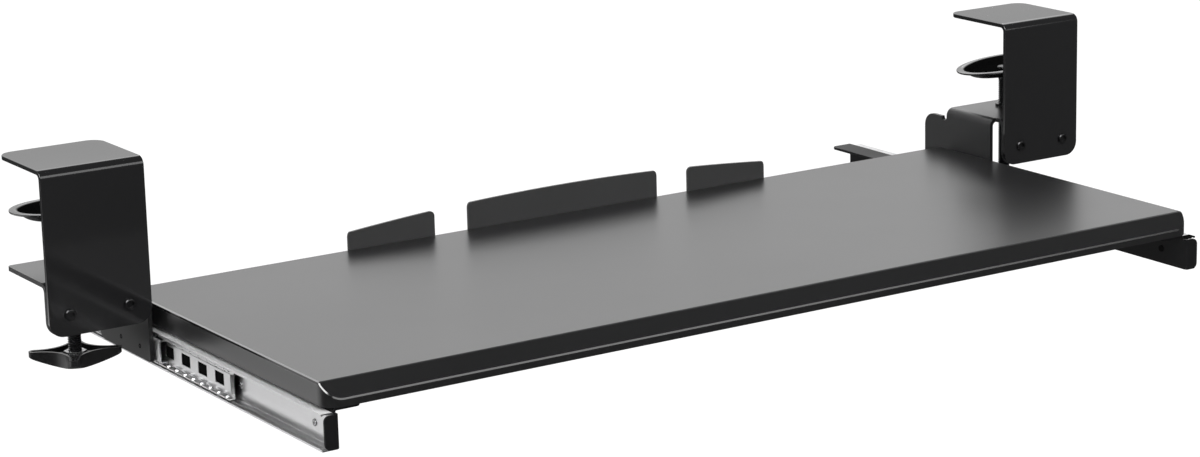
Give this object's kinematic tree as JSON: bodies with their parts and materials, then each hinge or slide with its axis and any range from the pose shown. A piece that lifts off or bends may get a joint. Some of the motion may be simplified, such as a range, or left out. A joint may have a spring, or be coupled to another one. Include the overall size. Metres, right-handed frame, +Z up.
{
  "type": "clamp-on keyboard tray",
  "caption": "Sliding keyboard tray: bevelled board with a rear stop on ball-bearing slides, hung from screw clamps that grip a desk edge.",
  "frame": {"origin": "middle of the desk's top front edge: between the clamps, at the back face of their front plates and the underside of their upper jaws", "axes": "+X along the desk edge to the right, +Y in under the desk, +Z up"},
  "size_m": [0.8548, 0.3891, 0.1465],
  "materials": {
    "coated_plate": "semi-gloss black powder coat",
    "board_laminate": "satin black laminate on fibreboard",
    "zinc_sheet": "zinc-plated sheet",
    "bright_steel": "polished steel",
    "black_fastener": "black oxide",
    "black_screw": "black oxide with cut thread",
    "gloss_pad": "gloss black enamel",
    "handle_plastic": "moulded black plastic"
  },
  "bodies": {
    "clamps": {"left_upper_jaw": "coated_plate", "left_hanger": "coated_plate", "left_jaw_bolts": "black_fastener", "left_jaw_nuts": "black_fastener", "left_screw_bush": "black_fastener", "left_inner_rail": "zinc_sheet", "left_inner_rivets": "black_fastener", "right_upper_jaw": "coated_plate", "right_hanger": "coated_plate", "right_jaw_bolts": "black_fastener", "right_jaw_nuts": "black_fastener", "right_screw_bush": "black_fastener", "right_inner_rail": "zinc_sheet", "right_inner_rivets": "black_fastener"},
    "tray": {"tray_board": "board_laminate", "rear_stop": "coated_plate", "rear_stop_screws": "black_fastener", "left_rail_bracket": "coated_plate", "left_bracket_screws": "black_fastener", "left_outer_rail": "zinc_sheet", "left_outer_rivets": "bright_steel", "right_rail_bracket": "coated_plate", "right_bracket_screws": "black_fastener", "right_outer_rail": "zinc_sheet", "right_outer_rivets": "bright_steel"},
    "left_cage": {"left_ball_cage": "zinc_sheet", "left_balls": "bright_steel"},
    "left_pad": {"left_clamp_pad": "gloss_pad"},
    "left_screw": {"left_clamp_screw": "black_screw", "left_clamp_handle": "handle_plastic", "left_handle_nut": "bright_steel"},
    "right_cage": {"right_ball_cage": "zinc_sheet", "right_balls": "bright_steel"},
    "right_pad": {"right_clamp_pad": "gloss_pad"},
    "right_screw": {"right_clamp_screw": "black_screw", "right_clamp_handle": "handle_plastic", "right_handle_nut": "bright_steel"}
  },
  "joints": [
    {"name": "tray_slide", "type": "slide", "parent": "clamps", "child": "tray", "axis": [0, 1, 0], "range_m": [0, 0.215]},
    {"name": "left_cage_slide", "type": "slide", "parent": "clamps", "child": "left_cage", "axis": [0, 1, 0], "range_m": [0, 0.1075]},
    {"name": "left_pad_slide", "type": "slide", "parent": "clamps", "child": "left_pad", "axis": [0, 0, 1], "range_m": [-0.0255, 0.0255]},
    {"name": "left_screw_turn", "type": "hinge", "parent": "left_pad", "child": "left_screw", "pos_m": [-0.3906, 0.0415, -0.092], "axis": [0, 0, 1], "range_deg": [-6122, 6122]},
    {"name": "right_cage_slide", "type": "slide", "parent": "clamps", "child": "right_cage", "axis": [0, 1, 0], "range_m": [0, 0.1075]},
    {"name": "right_pad_slide", "type": "slide", "parent": "clamps", "child": "right_pad", "axis": [0, 0, 1], "range_m": [-0.021, 0.0315]},
    {"name": "right_screw_turn", "type": "hinge", "parent": "right_pad", "child": "right_screw", "pos_m": [0.3906, 0.0415, -0.0965], "axis": [0, 0, 1], "range_deg": [-5042, 7562]}
  ],
  "couplings": [
    {"joint": "left_cage_slide", "follows": "tray_slide", "ratio": 0.5},
    {"joint": "left_screw_turn", "follows": "left_pad_slide", "rad_per_m": 4188.8},
    {"joint": "right_cage_slide", "follows": "tray_slide", "ratio": 0.5},
    {"joint": "right_screw_turn", "follows": "right_pad_slide", "rad_per_m": 4188.8}
  ]
}
